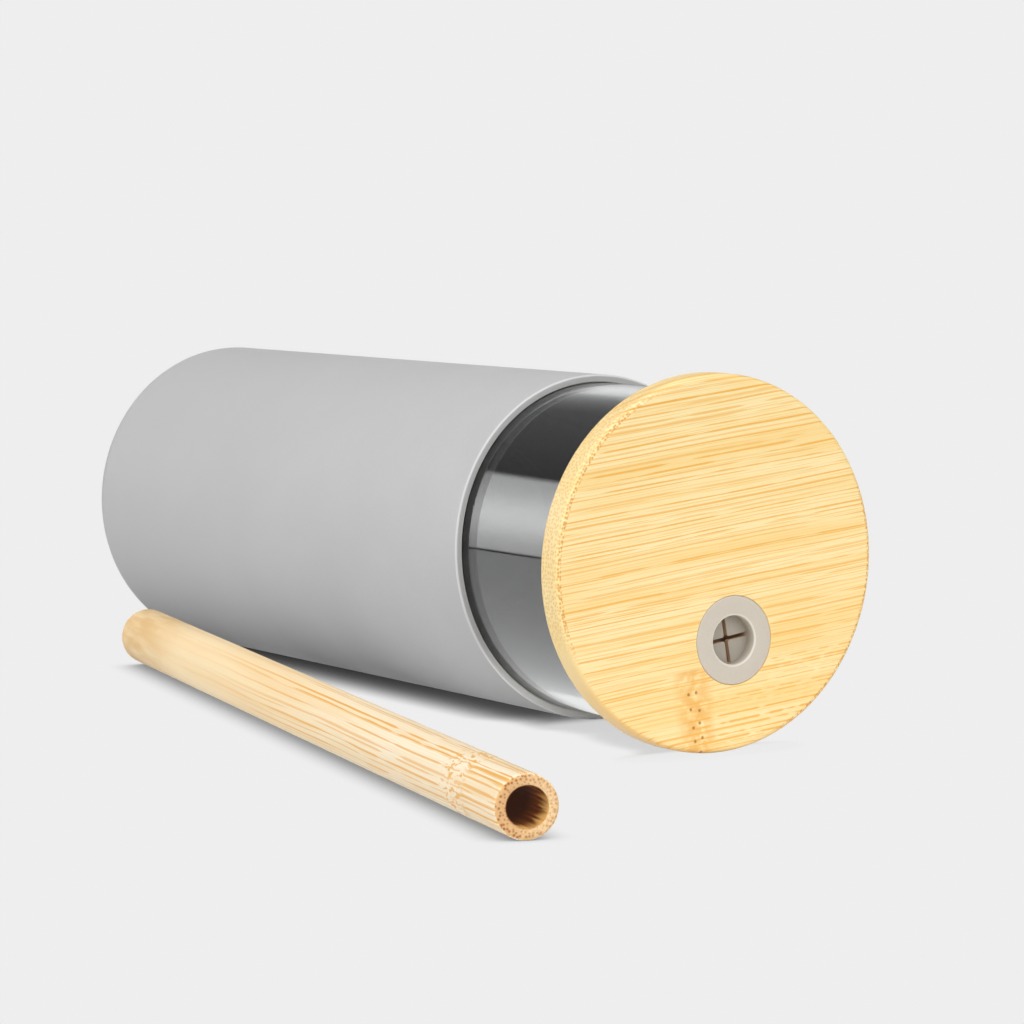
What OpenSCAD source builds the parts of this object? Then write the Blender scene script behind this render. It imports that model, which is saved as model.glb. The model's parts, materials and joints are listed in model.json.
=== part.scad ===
// Glass tumbler with a silicone sleeve, a bamboo lid and a bamboo straw.
// The tumbler lies on its side and the straw lies on the floor beside it.

/* [Glass] */
// Height of the glass
glass_h = 201; // [150:1:245]
// Outside diameter at the base
glass_base_d = 66.2; // [58:0.1:70]
// Outside diameter at the mouth
glass_mouth_d = 71.6; // [70:0.1:86]
// Thickness of the side wall
glass_wall = 2.6; // [1.8:0.1:4]
// Thickness of the bottom
glass_bottom_t = 7; // [4:0.5:14]
// Outside radius between the bottom and the side
glass_heel_r = 4.5; // [2:0.1:8]
// Inside radius between the bottom and the side
glass_inner_heel_r = 6; // [2:0.1:10]

/* [Sleeve] */
// Height of bare glass between the sleeve and the lid
bare_glass_h = 39; // [20:1:80]
// Thickness of the sleeve's side
sleeve_wall = 1.7; // [1:0.1:3]
// Thickness of the sleeve's bottom
sleeve_bottom_t = 2; // [1:0.1:4]
// Radius on both edges of the sleeve's rim
sleeve_lip_r = 0.45; // [0.1:0.05:0.45]
// Gap between the sleeve and the glass
sleeve_fit = 0.05; // [0.03:0.01:0.1]

/* [Lid] */
// How far the lid's disc stands out past the mouth of the glass
lid_overhang = 3.95; // [3:0.05:10]
// Thickness of the lid's disc
lid_t = 6.2; // [4:0.1:10]
// Radius on the edges of the disc
lid_edge_r = 0.8; // [0.3:0.1:1.8]
// Depth of the plug below the disc
plug_h = 9; // [8.5:0.1:16]
// Gap between the plug and the inside of the glass
plug_gap = 1.3; // [0.8:0.1:2]
// Chamfer on the plug's lower edge
plug_chamfer = 0.8; // [0.2:0.1:1.2]
// Turn of the lid about the tumbler's axis, from straw port down
lid_turn = 14.5; // [0:0.5:359]

/* [Seal] */
// Height of the ring and its groove in the plug
seal_h = 5; // [4:0.1:5.5]
// Distance from the disc down to the groove
seal_top = 2; // [1:0.1:2]
// Depth of the groove
seal_groove = 2.2; // [1.5:0.1:3]
// Thickness of the ring's band between its ribs
seal_band_t = 1.9; // [1.2:0.1:2.6]
// Radius of the round crest of each rib
seal_crest_r = 0.5; // [0.3:0.05:0.6]
// Gap between the ribs and the inside of the glass
seal_fit = 0.08; // [0.05:0.01:0.1]

/* [Straw port] */
// Distance from the lid's middle to the port
port_offset = 16.8; // [14:0.1:18]
// How much narrower the grommet's bore is than the straw that it grips
straw_grip = 2.8; // [0.4:0.1:3.4]
// Thickness of the grommet's wall inside the lid
grommet_wall = 1.8; // [1.2:0.05:2.5]
// How far the flange stands out past that wall
flange_overhang = 2.4; // [1.5:0.1:3]
// Thickness of the flange
flange_t = 1.6; // [1:0.1:2.5]
// Radius round the top edge of the grommet's bore
grommet_lip_r = 0.4; // [0.1:0.05:0.6]
// Depth from the top of the lid to the membrane
membrane_depth = 3; // [2:0.1:6]
// Thickness of the membrane
membrane_t = 1.2; // [0.6:0.1:2]
// Width of the crossed slits in the membrane
slit_w = 0.9; // [0.4:0.1:1.5]
// Turn of the slits from the line between the lid's middle and the port
slit_turn = -6; // [-45:0.5:45]
// How far the grommet's foot stands out past its wall, below the plug
foot_overhang = 1.25; // [0.8:0.05:2]
// Thickness of the foot
foot_t = 1.5; // [1:0.1:2.5]
// Gap round the grommet and inside the seal
silicone_fit = 0.05; // [0.02:0.01:0.1]

/* [Straw] */
// How much longer the straw is than the glass
straw_extra_l = 50; // [0:1:100]
// Outside diameter of the straw
straw_d = 13.1; // [10:0.1:16.2]
// Thickness of the straw's wall
straw_wall = 2.5; // [1.2:0.1:3.3]
// Radius on the outer edges of the straw's ends
straw_edge_r = 0.8; // [0.2:0.1:1]
// Distance along the tumbler from its base to the straw's far end
straw_start = 32.6; // [10:0.1:80]
// Distance on the floor from the sleeve's side to the middle of that end
straw_gap = 2.2; // [1:0.1:60]
// Turn of the straw away from the tumbler
straw_turn = 12.2; // [0:0.1:45]

/* [Hidden] */
$fn = 96;

glass_color = [0.80, 0.84, 0.84, 0.45];
sleeve_color = [0.62, 0.62, 0.62];
bamboo_color = [0.95, 0.80, 0.52];
straw_color = [0.96, 0.85, 0.64];
grommet_color = [0.78, 0.75, 0.70];
seal_color = [0.90, 0.90, 0.88];

// A cut or a tool runs this far past the face it goes through
over = 1;

// Heights along the tumbler's axis, from the face it stands on
glass_bottom = sleeve_bottom_t;
lid_back = glass_bottom + glass_h;
lid_top = lid_back + lid_t;
plug_end = lid_back - plug_h;
sleeve_h = lid_back - bare_glass_h;

// Rise of the glass's radius for each millimetre of height
glass_taper = (glass_mouth_d - glass_base_d) / 2 / glass_h;

// A size to the nearest thousandth, so that edges which share a corner meet in it
function fine(size) = round(size * 1000) / 1000;

// Outside radius of the glass at a height
function glass_r(height) = fine(glass_base_d / 2 + glass_taper * (height - glass_bottom));

// Inside radius of the glass at a height
function bore_r(height) = glass_r(height) - glass_wall;

// Inside radius of the sleeve at a height
function sleeve_bore_r(height) = glass_r(height) + sleeve_fit;

// Outside radius of the sleeve at a height
function sleeve_r(height) = sleeve_bore_r(height) + sleeve_wall;

// The plug and its seal
plug_r = bore_r(plug_end) - plug_gap;
groove_r = plug_r - seal_groove;
groove_top = lid_back - seal_top;
groove_bottom = groove_top - seal_h;
rib_count = 2;

// The lid's disc, its port and the grommet in it
lid_d = glass_mouth_d + 2 * lid_overhang;
grommet_bore_r = (straw_d - straw_grip) / 2;
grommet_r = grommet_bore_r + grommet_wall;
port_r = grommet_r + silicone_fit;
flange_r = grommet_r + flange_overhang;
foot_r = grommet_r + foot_overhang;

// The straw
straw_l = glass_h + straw_extra_l;
straw_r = straw_d / 2;

// How the tumbler lies: the sleeve's heel and the lid's edge both touch the floor
sleeve_heel_r = glass_heel_r + sleeve_fit + sleeve_wall;
heel_ring_r = sleeve_r(sleeve_heel_r) - sleeve_heel_r;
lid_ring_r = lid_d / 2 - lid_edge_r;
contact_run = lid_back + lid_edge_r - sleeve_heel_r;
contact_rise = lid_ring_r - heel_ring_r;
lie_tilt = atan2(contact_rise, contact_run)
    + asin((lid_edge_r - sleeve_heel_r) / norm([contact_run, contact_rise]));
base_height = sleeve_heel_r + heel_ring_r * cos(lie_tilt) - sleeve_heel_r * sin(lie_tilt);

// Extent of everything on the floor, measured from the middle of the tumbler's base
straw_mid_x = straw_start + straw_l / 2 * cos(straw_turn);
straw_mid_y = -sleeve_r(straw_start) - straw_gap - straw_l / 2 * sin(straw_turn);
straw_half_x = straw_l / 2 * cos(straw_turn) + straw_r * sin(straw_turn);
straw_half_y = straw_l / 2 * sin(straw_turn) + straw_r * cos(straw_turn);
tumbler_start = sleeve_heel_r * (cos(lie_tilt) - 1) - heel_ring_r * sin(lie_tilt);
tumbler_end = (lid_top - lid_edge_r) * cos(lie_tilt) + lid_ring_r * sin(lie_tilt) + lid_edge_r;
middle_x = (min(tumbler_start, straw_mid_x - straw_half_x)
    + max(tumbler_end, straw_mid_x + straw_half_x)) / 2;
middle_y = (min(-lid_d / 2, straw_mid_y - straw_half_y) + lid_d / 2) / 2;

// Quarter of a disc that rounds a corner, turned to face it
module quarter_round(centre, edge_r, turn) {
    translate(centre) rotate(turn) intersection() {
        circle(r = edge_r);
        square(edge_r);
    }
}

// Half outline of a tapered cup with a rounded heel, closed at the top through the given points
module cup_outline(side_r, bottom, heel_r, top_points) {
    heel = [side_r - heel_r, bottom + heel_r];
    polygon(concat([[0, bottom], [heel.x, bottom], heel, [side_r, heel.y]], top_points));
    quarter_round(heel, heel_r, 270);
}

// Half outline of a flat disc with rounded edges
module disc_outline(disc_r, disc_t, edge_r) {
    square([disc_r - edge_r, disc_t]);
    translate([0, edge_r]) square([disc_r, disc_t - 2 * edge_r]);
    for (height = [edge_r, disc_t - edge_r])
        translate([disc_r - edge_r, height]) circle(r = edge_r);
}

// Lays the upright tumbler down on the floor, base towards -X
module lay_down() {
    translate([-middle_x, -middle_y, base_height]) rotate([0, 90 - lie_tilt, 0]) children();
}

// Moves a shape from the lid's middle to the straw port
module at_port() {
    rotate([0, 0, lid_turn]) translate([port_offset, 0, 0]) children();
}

module glass_tumbler() {
    rim_r = glass_wall / 2;
    rim = [glass_r(lid_back - rim_r) - rim_r, lid_back - rim_r];
    inside_bottom = glass_bottom + glass_bottom_t;
    inside_top = lid_back + over;
    color(glass_color) lay_down() rotate_extrude() {
        difference() {
            cup_outline(glass_r(glass_bottom + glass_heel_r), glass_bottom, glass_heel_r,
                [[rim.x + rim_r, rim.y], [0, rim.y]]);
            cup_outline(bore_r(inside_bottom + glass_inner_heel_r), inside_bottom, glass_inner_heel_r,
                [[rim.x - rim_r, rim.y], [rim.x - rim_r, inside_top], [0, inside_top]]);
        }
        for (turn = [0, 90]) quarter_round(rim, rim_r, turn);
    }
}

module silicone_sleeve() {
    lip_height = sleeve_h - sleeve_lip_r;
    outer_lip = [sleeve_r(lip_height) - sleeve_lip_r, lip_height];
    inner_lip = [sleeve_bore_r(lip_height) + sleeve_lip_r, lip_height];
    inside_top = sleeve_h + over;
    color(sleeve_color) lay_down() rotate_extrude() {
        difference() {
            cup_outline(sleeve_r(sleeve_heel_r), 0, sleeve_heel_r,
                [[outer_lip.x + sleeve_lip_r, lip_height], outer_lip, [outer_lip.x, sleeve_h], [0, sleeve_h]]);
            cup_outline(sleeve_bore_r(glass_bottom + glass_heel_r), glass_bottom, glass_heel_r,
                [[inner_lip.x - sleeve_lip_r, lip_height], inner_lip, [inner_lip.x, inside_top], [0, inside_top]]);
        }
        quarter_round(outer_lip, sleeve_lip_r, 0);
        quarter_round(inner_lip, sleeve_lip_r, 90);
    }
}

module bamboo_lid() {
    color(bamboo_color) lay_down() difference() {
        rotate_extrude() {
            translate([0, lid_back]) disc_outline(lid_d / 2, lid_t, lid_edge_r);
            difference() {
                polygon([
                    [0, plug_end],
                    [plug_r - plug_chamfer, plug_end],
                    [plug_r, plug_end + plug_chamfer],
                    [plug_r, lid_back + over],
                    [0, lid_back + over]
                ]);
                translate([groove_r, groove_bottom]) square([seal_groove + over, seal_h]);
            }
        }
        at_port() {
            translate([0, 0, plug_end - over]) cylinder(r = port_r, h = plug_h + lid_t + 2 * over);
            translate([0, 0, lid_top - flange_t]) cylinder(r = flange_r + silicone_fit, h = flange_t + over);
        }
    }
}

module lid_seal() {
    inner_r = groove_r + silicone_fit;
    band_r = inner_r + seal_band_t;
    rib_step = seal_h / rib_count;
    color(seal_color) lay_down() rotate_extrude() {
        translate([inner_r, groove_bottom]) square([seal_band_t, seal_h]);
        for (rib = [0 : rib_count - 1]) {
            height = groove_bottom + rib_step * (rib + 0.5);
            crest = bore_r(height) - seal_fit - seal_crest_r;
            translate([crest, height]) circle(r = seal_crest_r);
            translate([band_r - seal_crest_r, height - seal_crest_r])
                square([crest - band_r + seal_crest_r, 2 * seal_crest_r]);
        }
    }
}

module straw_grommet() {
    membrane_top = lid_top - membrane_depth;
    foot_bottom = plug_end - foot_t;
    lip = [grommet_bore_r + grommet_lip_r, lid_top - grommet_lip_r];
    color(grommet_color) lay_down() at_port() difference() {
        rotate_extrude() {
            translate([grommet_bore_r, foot_bottom]) square([grommet_wall, lip.y - foot_bottom]);
            translate([grommet_bore_r, foot_bottom]) square([foot_r - grommet_bore_r, foot_t]);
            translate([lip.x, lid_top - flange_t]) square([flange_r - lip.x, flange_t]);
            quarter_round(lip, grommet_lip_r, 90);
            translate([0, membrane_top - membrane_t]) square([grommet_bore_r + over, membrane_t]);
        }
        for (turn = [slit_turn, slit_turn + 90])
            rotate([0, 0, turn]) translate([0, 0, membrane_top - membrane_t / 2])
                cube([2 * grommet_bore_r - slit_w, slit_w, membrane_t + over], center = true);
    }
}

module bamboo_straw() {
    color(straw_color)
        translate([straw_mid_x - middle_x, straw_mid_y - middle_y, straw_r])
        rotate([0, 0, -straw_turn]) rotate([0, 90, 0]) translate([0, 0, -straw_l / 2])
        rotate_extrude() difference() {
            disc_outline(straw_r, straw_l, straw_edge_r);
            translate([0, -over]) square([straw_r - straw_wall, straw_l + 2 * over]);
        }
}

glass_tumbler();
silicone_sleeve();
bamboo_lid();
lid_seal();
straw_grommet();
bamboo_straw();
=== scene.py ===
import json
import math
from collections import namedtuple

import bmesh
import bpy
from mathutils import Matrix, Vector, noise


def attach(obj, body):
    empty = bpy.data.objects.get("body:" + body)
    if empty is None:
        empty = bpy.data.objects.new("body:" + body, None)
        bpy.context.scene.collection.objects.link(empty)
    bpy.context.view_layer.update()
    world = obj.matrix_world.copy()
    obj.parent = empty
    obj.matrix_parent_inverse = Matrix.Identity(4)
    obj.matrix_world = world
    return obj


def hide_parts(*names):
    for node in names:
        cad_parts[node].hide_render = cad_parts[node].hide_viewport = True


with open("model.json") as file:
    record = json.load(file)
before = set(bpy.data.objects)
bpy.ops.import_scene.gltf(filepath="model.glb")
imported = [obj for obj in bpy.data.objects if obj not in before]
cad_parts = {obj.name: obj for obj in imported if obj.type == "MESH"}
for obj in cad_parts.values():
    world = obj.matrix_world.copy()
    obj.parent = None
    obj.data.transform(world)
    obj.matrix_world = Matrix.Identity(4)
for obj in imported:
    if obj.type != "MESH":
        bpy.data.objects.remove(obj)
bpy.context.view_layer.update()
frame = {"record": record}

MM = 0.001
MOUNTS = {mount["name"]: mount for mount in frame["record"]["mounts"]}

# Glass, in millimetres along and square to the tumbler's axis
GLASS_H = 201.0
GLASS_BASE_D = 66.2
GLASS_MOUTH_D = 71.6
GLASS_WALL = 2.6
GLASS_BOTTOM_T = 7.0
GLASS_HEEL_R = 4.5
GLASS_INNER_HEEL_R = 6.0

# Sleeve
BARE_GLASS_H = 39.0
SLEEVE_WALL = 1.7
SLEEVE_BOTTOM_T = 2.0
SLEEVE_LIP_R = 0.45
SLEEVE_FIT = 0.05
# How far the rim has slipped along the glass: all round, at its lowest side, at its +Y side
SLEEVE_SLIP = (0.4, 1.8, -1.4)

# Lid, plug and seal
LID_OVERHANG = 3.95
LID_T = 6.2
LID_EDGE_R = 0.8
# The edge round the outer face is sanded rounder than the one at the back
LID_FRONT_R = 1.4
PLUG_H = 9.0
PLUG_GAP = 1.3
PLUG_CHAMFER = 0.8
SEAL_H = 5.0
SEAL_TOP = 2.0
SEAL_GROOVE = 2.2
SEAL_BAND_T = 1.9
SEAL_CREST_R = 0.5
SEAL_FIT = 0.08
RIB_COUNT = 2

# Straw port
PORT_OFFSET = 16.8
PORT_SEAT_EDGE = 0.12
GROMMET_WALL = 1.8
FLANGE_OVERHANG = 2.4
FLANGE_T = 1.6
FLANGE_EDGE_R = 0.25
GROMMET_LIP_R = 0.4
MEMBRANE_DEPTH = 3.0
MEMBRANE_T = 1.2
SLIT_W = 0.85
SLIT_TURN = math.radians(-6.0)
PETAL_COUNT = 4
PETAL_CORNER_R = 0.5
FOOT_OVERHANG = 1.25
FOOT_T = 1.5
SILICONE_FIT = 0.05

# Straw
STRAW_D = 13.1
STRAW_WALL = 2.5
STRAW_EDGE_R = 0.8
STRAW_BORE_EDGE = 0.2
# Turn of the cut at the near end, from square to the straw
STRAW_CUT_TURN = math.radians(4.0)
# Extra length that the worn far end has past a square cut
STRAW_FAR_EXTRA = 2.8
STRAW_NODE_FROM_END = 25.5
# Growth of the radius from the far end to the near end
STRAW_TAPER = 0.32
# Ripples of the skin: their size, and their pace round the straw and along it
FIBRE_RIDGES = ((0.05, 6.6, 0.0264), (0.025, 18.0, 0.072))
DRILL_MARKS = ((0.09, 2.5, 0.03), (0.04, 9.25, 0.111))
NODE_SCAR = (0.10, 2.5, 0.5)
NODE_SWELL = 0.05
NODE_SPREAD = 2.6

# Fineness of the meshes: segments round a piece, and degrees from which an edge is shaded sharp
TURNED_COUNT = 256
SEAL_COUNT = 192
GROMMET_COUNT = 288
STRAW_COUNT = 160
SHARP_EDGE = 35.0
STRAW_SHARP_EDGE = 50.0

# Worked out from the sizes above
GLASS_BOTTOM = SLEEVE_BOTTOM_T
LID_BACK = GLASS_BOTTOM + GLASS_H
LID_TOP = LID_BACK + LID_T
PLUG_END = LID_BACK - PLUG_H
SLEEVE_H = LID_BACK - BARE_GLASS_H
SLEEVE_HEEL_R = GLASS_HEEL_R + SLEEVE_FIT + SLEEVE_WALL
GLASS_TAPER = (GLASS_MOUTH_D - GLASS_BASE_D) / 2 / GLASS_H
LID_R = GLASS_MOUTH_D / 2 + LID_OVERHANG
GROMMET_BORE_R = MOUNTS["straw_port"]["dims"]["r_mm"]
GROMMET_R = GROMMET_BORE_R + GROMMET_WALL
PORT_R = GROMMET_R + SILICONE_FIT
FLANGE_R = GROMMET_R + FLANGE_OVERHANG
FLANGE_FLOOR = LID_TOP - FLANGE_T
FOOT_R = GROMMET_R + FOOT_OVERHANG
MEMBRANE_TOP = LID_TOP - MEMBRANE_DEPTH
STRAW_R = STRAW_D / 2
STRAW_BORE_R = STRAW_R - STRAW_WALL
STRAW_L = MOUNTS["straw_bore"]["dims"]["length_mm"]
STRAW_NODE = STRAW_L / 2 - STRAW_NODE_FROM_END

# Camera, fitted to the outlines in the photograph's frame
IMAGE_SIDE = 1024
FOCAL_PIXELS = 5854.4
CAMERA_PLACE = Vector((1.06942, -0.65422, 0.1928))
CAMERA_PAN = math.radians(147.681)
CAMERA_PITCH = math.radians(6.695)
CAMERA_REACH = (0.01, 100.0)
SENSOR_WIDTH = 36.0


def glass_r(height):
    """Outside radius of the glass at a height."""
    return GLASS_BASE_D / 2 + GLASS_TAPER * (height - GLASS_BOTTOM)


def bore_r(height):
    """Inside radius of the glass at a height."""
    return glass_r(height) - GLASS_WALL


def sleeve_bore_r(height):
    """Inside radius of the sleeve at a height."""
    return glass_r(height) + SLEEVE_FIT


def sleeve_r(height):
    """Outside radius of the sleeve at a height."""
    return sleeve_bore_r(height) + SLEEVE_WALL


PLUG_R = bore_r(PLUG_END) - PLUG_GAP
GROOVE_R = PLUG_R - SEAL_GROOVE
GROOVE_TOP = LID_BACK - SEAL_TOP
GROOVE_BOTTOM = GROOVE_TOP - SEAL_H


def axes_matrix(origin, z_axis, x_hint):
    """Matrix of a local frame with that Z axis, and X as near the hint as can be."""
    z = Vector(z_axis).normalized()
    y = z.cross(Vector(x_hint)).normalized()
    x = y.cross(z)
    rotation = Matrix((x, y, z)).transposed().to_4x4()
    return Matrix.Translation(Vector(origin)) @ rotation


# Local frames: Z runs along the axis from the base, and X points down or towards the port;
# the straw's Z runs to its near end, and its X points up
AXIS = -Vector(MOUNTS["standing_face"]["axis"])
BASE = Vector(MOUNTS["standing_face"]["pos_m"])
PORT_STEP = Vector(MOUNTS["straw_port"]["pos_m"]) - BASE
PORT_WAY = PORT_STEP - PORT_STEP.dot(AXIS) * AXIS
TUMBLER_FRAME = axes_matrix(BASE, AXIS, (0, 0, -1))
LID_FRAME = axes_matrix(BASE, AXIS, PORT_WAY)
PORT_FRAME = LID_FRAME @ Matrix.Translation((PORT_OFFSET * MM, 0, 0))
GROMMET_FRAME = PORT_FRAME @ Matrix.Rotation(SLIT_TURN, 4, "Z")
STRAW_FRAME = axes_matrix(
    MOUNTS["straw_bore"]["pos_m"], MOUNTS["straw_bore"]["axis"], (0, 0, 1)
)


def arc(centre, radius, start, stop, steps):
    """Points of an arc in an outline, with angles in degrees from outwards to upwards."""
    turns = [math.radians(start + (stop - start) * i / steps) for i in range(steps + 1)]
    return [(centre[0] + radius * math.cos(t), centre[1] + radius * math.sin(t)) for t in turns]


def partway(first, last, share):
    """Point of an outline at a share of the way between two points."""
    return tuple(a + (b - a) * share for a, b in zip(first, last))


def between(first, last, steps):
    """Points strictly between two points of an outline."""
    return [partway(first, last, i / steps) for i in range(1, steps)]


def wall(first, last):
    """Points along a straight wall, with one close to each end that keeps its shading straight."""
    close = 0.003
    ends = [partway(first, last, close), partway(first, last, 1 - close)]
    return ends[:1] + between(first, last, steps=24) + ends[1:]


def ring_of(count, first):
    """Numbers of the vertices of a ring whose first vertex has that number."""
    return list(range(first, first + count))


def turns_of(count):
    """Angles of the vertices of a ring."""
    return [2 * math.pi * i / count for i in range(count)]


def ring_faces(rings, closed):
    """Faces between neighbouring rings of vertices; closed joins the last ring to the first."""
    faces = []
    following = rings[1:] + rings[:1] if closed else rings[1:]
    for low, high in zip(rings, following):
        count = len(low)
        for i in range(count):
            j = (i + 1) % count
            corners = [low[i], low[j], high[j], high[i]]
            faces.append(list(dict.fromkeys(corners)))
    return faces


def lathe(outline, count):
    """Vertices and faces of (radius, height) points turned about Z; radius 0 is a pole."""
    vertices, rings = [], []
    for radius, height in outline:
        first = len(vertices)
        if radius == 0:
            vertices.append((0, 0, height))
            rings.append([first] * count)
            continue
        for turn in turns_of(count):
            vertices.append((radius * math.cos(turn), radius * math.sin(turn), height))
        rings.append(ring_of(count, first))
    return vertices, ring_faces(rings, closed=outline[0][0] != 0)


def new_piece(name, vertices, faces, matrix, sharp=SHARP_EDGE):
    """Mesh object of vertices in millimetres in a local frame, smooth but for sharp edges."""
    mesh = bpy.data.meshes.new(name)
    mesh.from_pydata([matrix @ (Vector(v) * MM) for v in vertices], [], faces)
    shape = bmesh.new()
    shape.from_mesh(mesh)
    bmesh.ops.recalc_face_normals(shape, faces=shape.faces)
    shape.to_mesh(mesh)
    shape.free()
    mesh.polygons.foreach_set("use_smooth", [True] * len(mesh.polygons))
    mesh.set_sharp_from_angle(angle=math.radians(sharp))
    piece = bpy.data.objects.new(name, mesh)
    bpy.context.scene.collection.objects.link(piece)
    return piece


def finish_piece(piece, material, body, node):
    """Gives a piece its material and its place in the model."""
    piece.data.materials.append(material)
    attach(piece, body)
    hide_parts(node)
    return piece


def make_glass():
    """Tumbler: rounded heel, tapered wall, fire-polished rim, and a thick bottom."""
    heel_h = GLASS_BOTTOM + GLASS_HEEL_R
    heel = (glass_r(heel_h) - GLASS_HEEL_R, heel_h)
    rim_r = GLASS_WALL / 2
    rim = (glass_r(LID_BACK - rim_r) - rim_r, LID_BACK - rim_r)
    floor = GLASS_BOTTOM + GLASS_BOTTOM_T
    inner_h = floor + GLASS_INNER_HEEL_R
    inner = (bore_r(inner_h) - GLASS_INNER_HEEL_R, inner_h)
    heel_arc = arc(heel, GLASS_HEEL_R, -90, 0, steps=12)
    rim_arc = arc(rim, rim_r, 0, 180, steps=16)
    inner_arc = arc(inner, GLASS_INNER_HEEL_R, 0, -90, steps=12)
    outline = [(0, GLASS_BOTTOM)] + heel_arc + wall(heel_arc[-1], rim_arc[0])
    outline += rim_arc + wall(rim_arc[-1], inner_arc[0]) + inner_arc + [(0, floor)]
    return new_piece("tumbler_glass", *lathe(outline, TURNED_COUNT), TUMBLER_FRAME)


def make_sleeve():
    """Sleeve: a close cup round the glass, with two rounded edges on its rim."""
    heel = (sleeve_r(SLEEVE_HEEL_R) - SLEEVE_HEEL_R, SLEEVE_HEEL_R)
    inner_h = GLASS_BOTTOM + GLASS_HEEL_R
    inner = (sleeve_bore_r(inner_h) - GLASS_HEEL_R, inner_h)
    lip_h = SLEEVE_H - SLEEVE_LIP_R
    outer_lip = (sleeve_r(lip_h) - SLEEVE_LIP_R, lip_h)
    inner_lip = (sleeve_bore_r(lip_h) + SLEEVE_LIP_R, lip_h)
    heel_arc = arc(heel, SLEEVE_HEEL_R, -90, 0, steps=16)
    rim_arc = arc(outer_lip, SLEEVE_LIP_R, 0, 90, steps=6)
    rim_arc += arc(inner_lip, SLEEVE_LIP_R, 90, 180, steps=6)
    inner_arc = arc(inner, GLASS_HEEL_R, 0, -90, steps=12)
    outline = [(0, 0)] + heel_arc + wall(heel_arc[-1], rim_arc[0])
    outline += rim_arc + wall(rim_arc[-1], inner_arc[0]) + inner_arc + [(0, GLASS_BOTTOM)]
    vertices, faces = lathe(outline, TURNED_COUNT)
    return new_piece("sleeve_cup", [slipped(v) for v in vertices], faces, TUMBLER_FRAME)


def slipped(vertex):
    """Place of a point of the sleeve after its upper part has slipped a little askew."""
    x, y, height = vertex
    share = min(max((height - SLEEVE_H / 2) / (SLEEVE_H / 2), 0), 1)
    evenly, low_side, far_side = SLEEVE_SLIP
    way = Vector((x, y)).normalized() if x or y else Vector((0, 0))
    slip = evenly + low_side * way.x + far_side * way.y
    return x, y, height + slip * share * share * (3 - 2 * share)


def lid_rings():
    """Rings of the lid as (about the port, radius, height), from the port round the outside."""
    seat_r = FLANGE_R + SILICONE_FIT
    face_margin = 0.5
    front = (LID_R - LID_FRONT_R, LID_TOP - LID_FRONT_R)
    back = (LID_R - LID_EDGE_R, LID_BACK + LID_EDGE_R)
    port = [(PORT_R, PLUG_END), (PORT_R, FLANGE_FLOOR), (seat_r, FLANGE_FLOOR)]
    port += [(seat_r, LID_TOP - PORT_SEAT_EDGE), (seat_r + PORT_SEAT_EDGE, LID_TOP)]
    outside = [(front[0] - face_margin, LID_TOP)]
    outside += arc(front, LID_FRONT_R, 90, 0, steps=10)
    outside += between((LID_R, front[1]), (LID_R, back[1]), steps=6)
    outside += arc(back, LID_EDGE_R, 0, -90, steps=8)
    outside += [(PLUG_R, LID_BACK), (PLUG_R, GROOVE_TOP), (GROOVE_R, GROOVE_TOP)]
    outside += [(GROOVE_R, GROOVE_BOTTOM), (PLUG_R, GROOVE_BOTTOM)]
    outside += [(PLUG_R, PLUG_END + PLUG_CHAMFER), (PLUG_R - PLUG_CHAMFER, PLUG_END)]
    return [(True, *point) for point in port] + [(False, *point) for point in outside]


def make_lid():
    """Lid: a disc with rounded edges, a grooved plug, and a stepped port off its middle."""
    port = Vector((PORT_OFFSET, 0))
    vertices, rings = [], []
    for about_port, radius, height in lid_rings():
        rings.append(ring_of(TURNED_COUNT, len(vertices)))
        for turn in turns_of(TURNED_COUNT):
            way = Vector((math.cos(turn), math.sin(turn)))
            if about_port:
                spot = port + radius * way
            else:
                along = port.dot(way)
                reach = math.sqrt(along * along + LID_R * LID_R - PORT_OFFSET * PORT_OFFSET)
                spot = (port + (reach - along) * way) * (radius / LID_R)
            vertices.append((spot.x, spot.y, height))
    return new_piece("lid_bamboo_disc", vertices, ring_faces(rings, closed=True), LID_FRAME)


def make_seal():
    """Seal: a band in the plug's groove with round ribs that meet the glass."""
    inner_r = GROOVE_R + SILICONE_FIT
    band_r = inner_r + SEAL_BAND_T
    step = SEAL_H / RIB_COUNT
    outline = [(inner_r, GROOVE_TOP), (inner_r, GROOVE_BOTTOM), (band_r, GROOVE_BOTTOM)]
    for rib in range(RIB_COUNT):
        height = GROOVE_BOTTOM + step * (rib + 0.5)
        crest = (bore_r(height) - SEAL_FIT - SEAL_CREST_R, height)
        outline += [(band_r, height - SEAL_CREST_R)]
        outline += arc(crest, SEAL_CREST_R, -90, 90, steps=10)
        outline += [(band_r, height + SEAL_CREST_R)]
    outline += [(band_r, GROOVE_TOP)]
    return new_piece("seal_ring", *lathe(outline, SEAL_COUNT), LID_FRAME)


def petal_outline(middle):
    """Free edge of a membrane petal, round its inner corner, for the angle of its middle."""
    steps = 8
    reach = (SLIT_W / 2 + PETAL_CORNER_R) * math.sqrt(2)
    centre = Vector((math.cos(middle), math.sin(middle))) * reach
    turn_from = middle + math.pi / 4 + math.pi / 2
    points = []
    for i in range(steps + 1):
        turn = turn_from + math.pi / 2 * i / steps
        points.append(centre + PETAL_CORNER_R * Vector((math.cos(turn), math.sin(turn))))
    return points


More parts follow.
